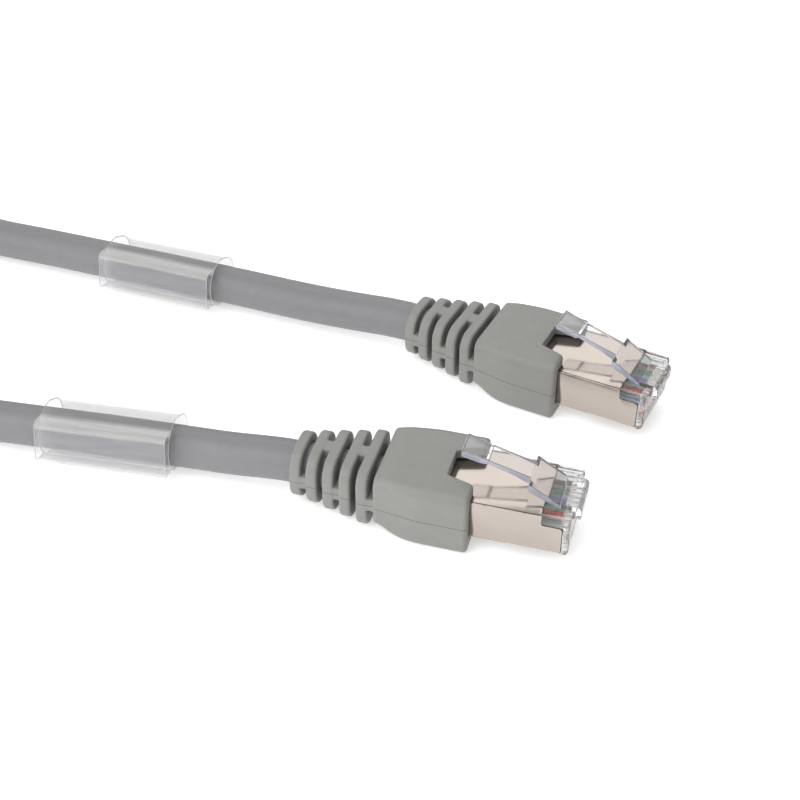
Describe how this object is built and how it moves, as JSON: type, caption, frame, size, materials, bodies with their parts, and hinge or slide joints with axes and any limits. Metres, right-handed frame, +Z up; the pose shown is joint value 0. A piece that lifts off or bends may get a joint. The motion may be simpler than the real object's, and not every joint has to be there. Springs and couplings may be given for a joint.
{
  "type": "ethernet patch cable",
  "caption": "Shielded network patch cable: a latching modular plug with ringed boot at each end, round jacket, clear label sleeves, tied in a flat hank.",
  "frame": {"origin": "on the surface the cable lies on, under the middle of the box round its two plugs and boots", "axes": "+X the way plug A's nose points, +Y towards plug B, +Z up"},
  "size_m": [0.2494, 0.063, 0.0149],
  "materials": {
    "boot_grey": "satin flexible PVC",
    "clear_plastic": "clear polycarbonate",
    "latch_plastic": "clear polycarbonate",
    "plated_steel": "nickel plated, soft sheen",
    "gold_plate": "gold plated",
    "guide_plastic": "clear polycarbonate",
    "wire_white_orange": "striped insulation",
    "wire_orange": "insulation",
    "wire_white_green": "striped insulation",
    "wire_blue": "insulation",
    "wire_white_blue": "striped insulation",
    "wire_green": "insulation",
    "wire_white_brown": "striped insulation",
    "wire_brown": "insulation",
    "copper": "bare copper",
    "foil": "thin foil",
    "braid_metal": "tinned braid",
    "jacket_grey": "satin PVC jacket",
    "sleeve_clear": "milky clear extrusion",
    "tie_band": "plastic band"
  },
  "bodies": {
    "cable": {"boot_a": "boot_grey", "plug_housing_a": "clear_plastic", "shield_a": "plated_steel", "contacts_a": "gold_plate", "wire_guide_a": "guide_plastic", "wire_white_orange_a": "wire_white_orange", "wire_orange_a": "wire_orange", "wire_white_green_a": "wire_white_green", "wire_blue_a": "wire_blue", "wire_white_blue_a": "wire_white_blue", "wire_green_a": "wire_green", "wire_white_brown_a": "wire_white_brown", "wire_brown_a": "wire_brown", "wire_cores_a": "copper", "foil_wrap_a": "foil", "braid_a": "braid_metal", "jacket_end_a": "jacket_grey", "boot_b": "boot_grey", "plug_housing_b": "clear_plastic", "shield_b": "plated_steel", "contacts_b": "gold_plate", "wire_guide_b": "guide_plastic", "wire_white_orange_b": "wire_white_orange", "wire_orange_b": "wire_orange", "wire_white_green_b": "wire_white_green", "wire_blue_b": "wire_blue", "wire_white_blue_b": "wire_white_blue", "wire_green_b": "wire_green", "wire_white_brown_b": "wire_white_brown", "wire_brown_b": "wire_brown", "wire_cores_b": "copper", "foil_wrap_b": "foil", "braid_b": "braid_metal", "jacket_end_b": "jacket_grey", "lead_a": "jacket_grey", "lead_b": "jacket_grey", "cable_hank": "jacket_grey", "hank_ties": "tie_band"},
    "latch_a": {"latch_a": "latch_plastic"},
    "latch_b": {"latch_b": "latch_plastic"},
    "sleeve_a": {"label_sleeve_a": "sleeve_clear"},
    "sleeve_b": {"label_sleeve_b": "sleeve_clear"}
  },
  "joints": [
    {"name": "latch_a_press", "type": "hinge", "parent": "cable", "child": "latch_a", "pos_m": [0.0143, -0.0175, 0.0091], "axis": [0, -1, 0], "range_deg": [0, 12], "stiffness_Nm_per_rad": 0.02, "springref_deg": -1.15},
    {"name": "latch_b_press", "type": "hinge", "parent": "cable", "child": "latch_b", "pos_m": [0.02125, 0.01304, 0.0091], "axis": [-0.1951, -0.9808, 0], "range_deg": [0, 12], "stiffness_Nm_per_rad": 0.02, "springref_deg": -1.15},
    {"name": "sleeve_a_slide", "type": "slide", "parent": "cable", "child": "sleeve_a", "axis": [0.9962, 0.0872, 0], "range_m": [-0.008, 0.002]},
    {"name": "sleeve_b_slide", "type": "slide", "parent": "cable", "child": "sleeve_b", "axis": [0.9981, -0.061, 0], "range_m": [-0.008, 0.002]}
  ]
}
